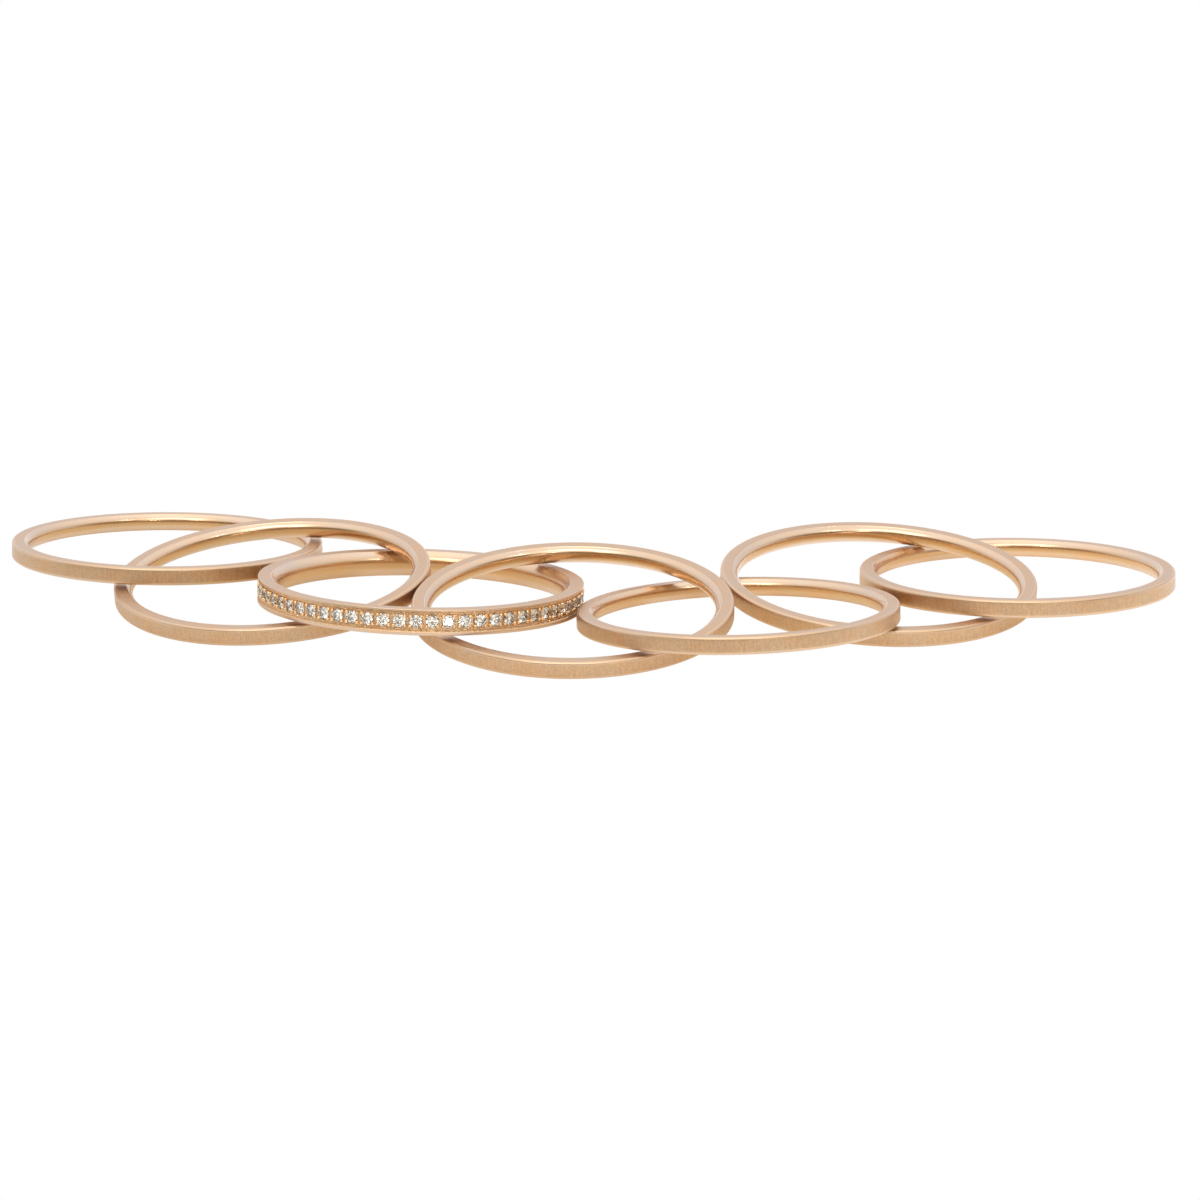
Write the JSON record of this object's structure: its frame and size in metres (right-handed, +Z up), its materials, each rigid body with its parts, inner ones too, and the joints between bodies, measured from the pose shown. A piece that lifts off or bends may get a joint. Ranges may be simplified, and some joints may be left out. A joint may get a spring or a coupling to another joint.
{
  "type": "chain ring",
  "caption": "Slim finger rings in rose gold linked into an open chain and lying on a surface, with a sunk row of small round stones round one of them.",
  "frame": {"origin": "on the surface that the chain lies on, under the middle of the chain's box", "axes": "+X along the chain, from the end next to the stone band to the far end; +Y to the back as the picture shows it; +Z up from the surface"},
  "size_m": [0.073, 0.0352, 0.0034],
  "materials": {
    "rose_gold": "rose gold: brushed matte outer wall, fine matte flat faces, polished rounded bore",
    "rose_gold_rails": "rose gold: polished rails and bright-cut edges beside the stones, fine matte flat faces, polished bore",
    "stones": "clear faceted round stones, bead set in a bright-cut rose gold strip"
  },
  "bodies": {
    "root": {"ring_1": "rose_gold", "ring_2": "rose_gold", "stone_ring_3": "rose_gold_rails", "ring_4": "rose_gold", "ring_5": "rose_gold", "ring_6": "rose_gold", "ring_7": "rose_gold", "stone_row_3": "stones"}
  },
  "joints": []
}
